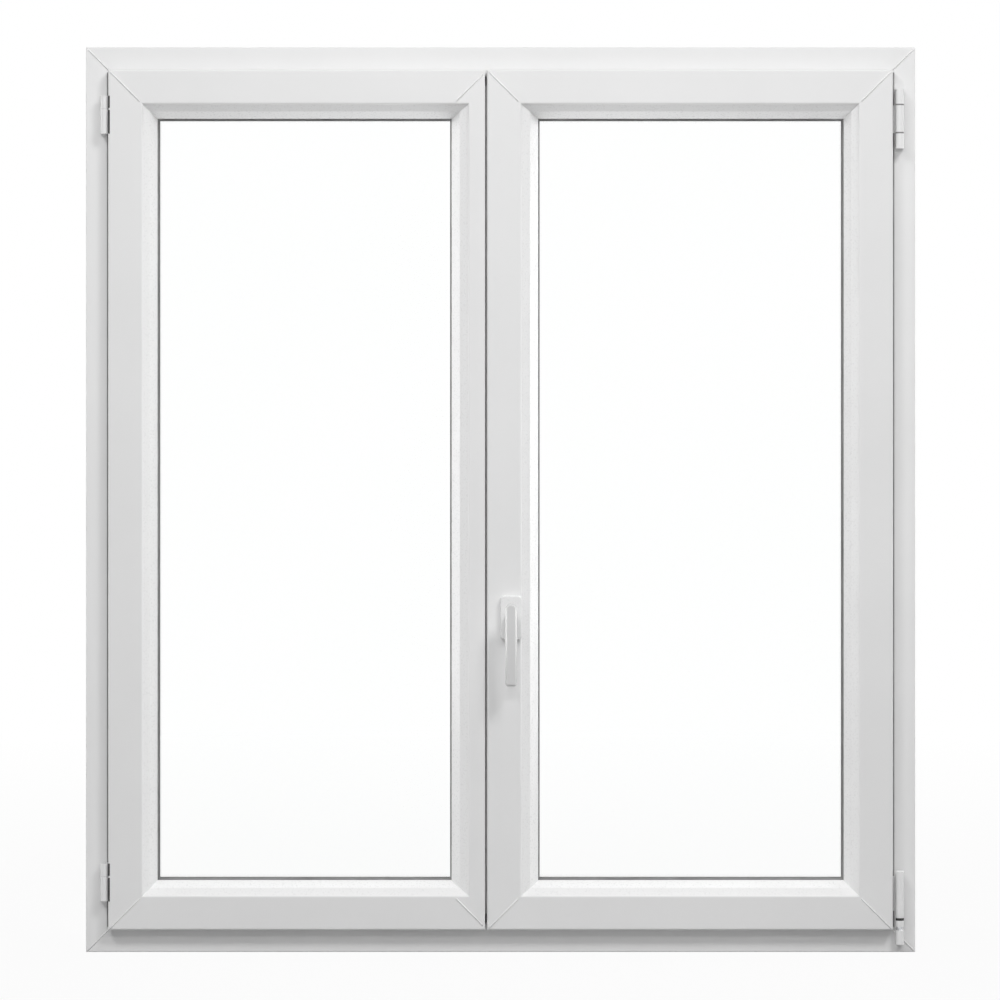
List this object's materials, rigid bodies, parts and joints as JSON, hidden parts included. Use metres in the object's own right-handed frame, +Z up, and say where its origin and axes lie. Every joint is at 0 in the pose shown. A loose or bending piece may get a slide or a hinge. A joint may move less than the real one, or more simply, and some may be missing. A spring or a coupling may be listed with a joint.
{
  "type": "casement window",
  "caption": "White plastic window with a passive left leaf and a tilt-and-turn right leaf, double glazed, with barrel hinges, lever handle and locking gear.",
  "frame": {"origin": "middle of the frame's bottom face, halfway through its depth", "axes": "+Z up, +X to the right seen from the room, -Y towards the room"},
  "size_m": [1.1, 0.137, 1.2],
  "materials": {
    "white_profile": "satin white window plastic",
    "trim_white": "moulded white plastic",
    "hinge_white": "white powder coat",
    "handle_white": "white powder coat",
    "gasket_rubber": "extruded rubber",
    "sealant": "cured sealant",
    "glass": "clear float glass",
    "spacer_metal": "mill aluminium",
    "block_plastic": "moulded plastic",
    "zinc_steel": "zinc plated steel"
  },
  "bodies": {
    "frame": {"frame_gasket": "gasket_rubber", "frame_head": "white_profile", "frame_jamb_left": "white_profile", "frame_jamb_right": "white_profile", "frame_reinforcement": "zinc_steel", "frame_sill": "white_profile", "frame_strikers": "zinc_steel", "drain_caps": "trim_white", "left_hinge_frame_leaves": "hinge_white", "left_hinge_pins": "zinc_steel", "stay_bearing": "hinge_white", "stay_bearing_pin": "zinc_steel", "corner_bearing": "hinge_white"},
    "left_leaf": {"left_beads": "white_profile", "left_bottom_rail": "white_profile", "left_edge_sealant": "sealant", "left_glazing_gaskets": "gasket_rubber", "left_hinge_sash_leaves": "hinge_white", "left_hinge_stile": "white_profile", "left_leaf_gasket": "gasket_rubber", "left_meeting_stile": "white_profile", "left_panes": "glass", "left_reinforcement": "zinc_steel", "left_setting_blocks": "block_plastic", "left_spacer": "spacer_metal", "left_top_rail": "white_profile", "floating_mullion": "white_profile", "mullion_end_caps": "trim_white", "mullion_strikers": "zinc_steel", "bolt_guides": "zinc_steel"},
    "upper_bolt": {"upper_shoot_bolt": "zinc_steel"},
    "lower_bolt": {"lower_shoot_bolt": "zinc_steel"},
    "right_pivot": {"corner_pivot": "zinc_steel"},
    "right_leaf": {"right_beads": "white_profile", "right_bottom_rail": "white_profile", "right_edge_sealant": "sealant", "right_glazing_gaskets": "gasket_rubber", "right_hinge_stile": "white_profile", "right_leaf_gasket": "gasket_rubber", "right_lock_stile": "white_profile", "right_panes": "glass", "right_reinforcement": "zinc_steel", "right_setting_blocks": "block_plastic", "right_spacer": "spacer_metal", "right_top_rail": "white_profile", "corner_hinge_strap": "zinc_steel", "corner_hinge_cap": "hinge_white", "faceplates": "zinc_steel", "corner_drives": "zinc_steel", "gearbox_case": "zinc_steel", "handle_base": "block_plastic", "handle_rosette": "trim_white", "handle_screws": "zinc_steel"},
    "stay": {"stay_arm": "zinc_steel"},
    "handle": {"handle_lever": "handle_white", "handle_spindle": "zinc_steel", "drive_pinion": "zinc_steel"},
    "lock_rod": {"lock_rod": "zinc_steel"},
    "top_rod": {"top_rod": "zinc_steel"},
    "bottom_rod": {"bottom_rod": "zinc_steel"}
  },
  "joints": [
    {"name": "right_turn", "type": "hinge", "parent": "frame", "child": "right_pivot", "pos_m": [0.5284, -0.047, 0.035], "axis": [0, 0, 1], "range_deg": [0, 95]},
    {"name": "right_tilt", "type": "hinge", "parent": "right_pivot", "child": "right_leaf", "pos_m": [0.5284, -0.047, 0.035], "axis": [1, 0, 0], "range_deg": [0, 6.5]},
    {"name": "stay_swing", "type": "hinge", "parent": "right_pivot", "child": "stay", "pos_m": [0.5284, -0.047, 1.1], "axis": [0, 0, 1], "range_deg": [0, 20]},
    {"name": "left_turn", "type": "hinge", "parent": "frame", "child": "left_leaf", "pos_m": [-0.5245, -0.047, 0.1], "axis": [0, 0, -1], "range_deg": [0, 90]},
    {"name": "handle_turn", "type": "hinge", "parent": "right_leaf", "child": "handle", "pos_m": [0.0139, -0.053, 0.4445], "axis": [0, -1, 0], "range_deg": [0, 180]},
    {"name": "lock_rod_slide", "type": "slide", "parent": "right_leaf", "child": "lock_rod", "axis": [0, 0, -1], "range_m": [0, 0.022]},
    {"name": "top_rod_slide", "type": "slide", "parent": "right_leaf", "child": "top_rod", "axis": [-1, 0, 0], "range_m": [0, 0.022]},
    {"name": "bottom_rod_slide", "type": "slide", "parent": "right_leaf", "child": "bottom_rod", "axis": [1, 0, 0], "range_m": [0, 0.022]},
    {"name": "upper_bolt_slide", "type": "slide", "parent": "left_leaf", "child": "upper_bolt", "axis": [0, 0, -1], "range_m": [0, 0.02]},
    {"name": "lower_bolt_slide", "type": "slide", "parent": "left_leaf", "child": "lower_bolt", "axis": [0, 0, 1], "range_m": [0, 0.02]}
  ],
  "couplings": [
    {"joint": "stay_swing", "follows": "right_tilt", "ratio": 2.94},
    {"joint": "left_turn", "follows": "right_turn", "ratio": 0.94},
    {"joint": "lock_rod_slide", "follows": "handle_turn", "m_per_rad": 0.007},
    {"joint": "top_rod_slide", "follows": "handle_turn", "m_per_rad": 0.007},
    {"joint": "bottom_rod_slide", "follows": "handle_turn", "m_per_rad": 0.007}
  ]
}
